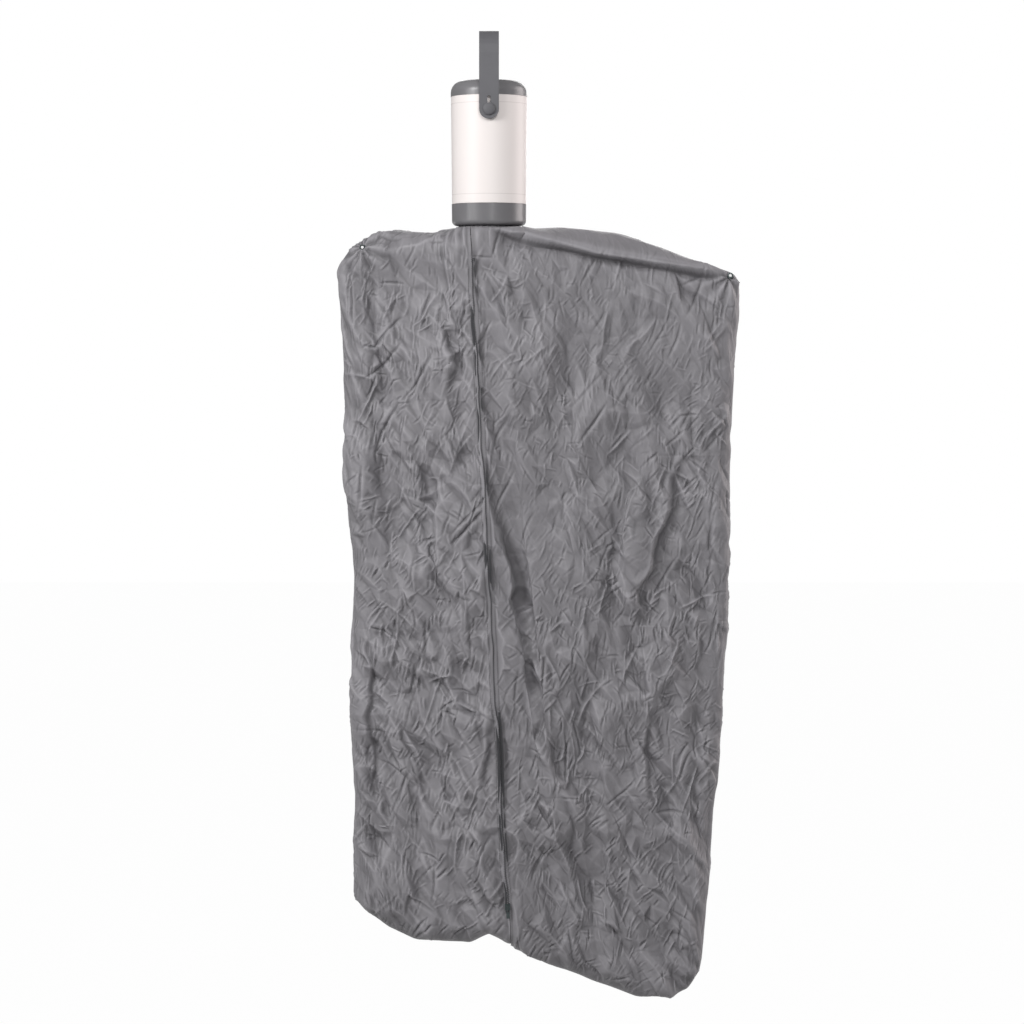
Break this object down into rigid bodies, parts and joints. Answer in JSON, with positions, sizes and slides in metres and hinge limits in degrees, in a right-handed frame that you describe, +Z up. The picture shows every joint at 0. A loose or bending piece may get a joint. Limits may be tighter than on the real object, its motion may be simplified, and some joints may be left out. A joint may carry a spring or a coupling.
{
  "type": "portable clothes dryer",
  "caption": "Hanging fan heater with a swinging strap handle over a zipped cloth drying bag held out by folding telescopic arms.",
  "frame": {"origin": "middle of the flat inner face at the top of the strap handle, where a rail carries the dryer", "axes": "+Z up, +X to the long arm's side, -Y to the front with the zip"},
  "size_m": [0.5815, 0.1284, 1.3933],
  "materials": {
    "strap": "matte moulded strap",
    "cap": "satin moulded",
    "shell": "warm white gloss",
    "dark_plastic": "fine matte",
    "steel": "drawn",
    "board": "coated board",
    "heat_plastic": "heat-proof moulding",
    "heater": "finned",
    "stud": "pale gloss",
    "eyelet": "dark plated",
    "cloth": "crinkled thin nylon",
    "zip": "moulded coil"
  },
  "bodies": {
    "unit": {"top_cap": "cap", "housing_shell": "shell", "bottom_cap": "cap", "button_switch": "dark_plastic", "control_board": "board", "fan_frame": "dark_plastic", "fan_motor": "steel", "heater_ring": "heat_plastic", "heater_element": "heater", "air_duct": "heat_plastic", "outlet_grille": "dark_plastic", "power_inlet": "dark_plastic", "arm_hub": "dark_plastic", "hub_screw_1": "steel", "hub_screw_2": "steel", "hub_screw_3": "steel", "hub_screw_4": "steel", "neck_hem": "cloth", "strap_peg_front": "dark_plastic", "strap_peg_back": "dark_plastic", "arm_pin_left": "steel", "arm_pin_right": "steel", "shoulder_stud_left": "stud", "shoulder_stud_right": "stud", "eyelet_front_left": "eyelet", "eyelet_back_left": "eyelet", "eyelet_front_right": "eyelet", "eyelet_back_right": "eyelet", "bag_front_left": "cloth", "bag_front_right": "cloth", "bag_back": "cloth", "zip_chain": "zip"},
    "handle": {"handle_strap": "strap"},
    "button": {"power_button": "cap"},
    "fan": {"fan_rotor": "dark_plastic"},
    "arm_left": {"arm_sleeve_left": "dark_plastic", "arm_middle_left": "steel", "arm_tip_left": "steel"},
    "arm_right": {"arm_sleeve_right": "dark_plastic"},
    "arm_right_middle": {"arm_middle_right": "steel"},
    "arm_right_tip": {"arm_tip_right": "steel"},
    "slider": {"zip_slider": "eyelet"},
    "pull": {"zip_pull": "eyelet"}
  },
  "joints": [
    {"name": "handle_swing", "type": "hinge", "parent": "unit", "child": "handle", "pos_m": [0, 0, -0.109], "axis": [0, 1, 0], "range_deg": [-140, 140]},
    {"name": "button_press", "type": "slide", "parent": "unit", "child": "button", "axis": [0, 0, -1], "range_m": [0, 0.0015], "stiffness_N_per_m": 400, "springref_m": -0.001},
    {"name": "fan_spin", "type": "hinge", "parent": "unit", "child": "fan", "pos_m": [0, 0, -0.12], "axis": [0, 0, 1], "continuous": true},
    {"name": "arm_left_fold", "type": "hinge", "parent": "unit", "child": "arm_left", "pos_m": [-0.05, 0, -0.2942], "axis": [0, -1, 0], "range_deg": [0, 84]},
    {"name": "arm_right_fold", "type": "hinge", "parent": "unit", "child": "arm_right", "pos_m": [0.05, 0, -0.2942], "axis": [0, 1, 0], "range_deg": [0, 79]},
    {"name": "arm_middle_slide", "type": "slide", "parent": "arm_right", "child": "arm_right_middle", "axis": [0.9868, 0, -0.1618], "range_m": [-0.083, 0]},
    {"name": "arm_tip_slide", "type": "slide", "parent": "arm_right_middle", "child": "arm_right_tip", "axis": [0.9868, 0, -0.1618], "range_m": [-0.083, 0]},
    {"name": "zip_slide", "type": "slide", "parent": "unit", "child": "slider", "axis": [-0.0545, 0, 0.9985], "range_m": [0, 0.92]},
    {"name": "pull_swing", "type": "hinge", "parent": "slider", "child": "pull", "pos_m": [0.02665, -0.0591, -1.24765], "axis": [-0.9985, 0, -0.0545], "range_deg": [0, 165]}
  ]
}
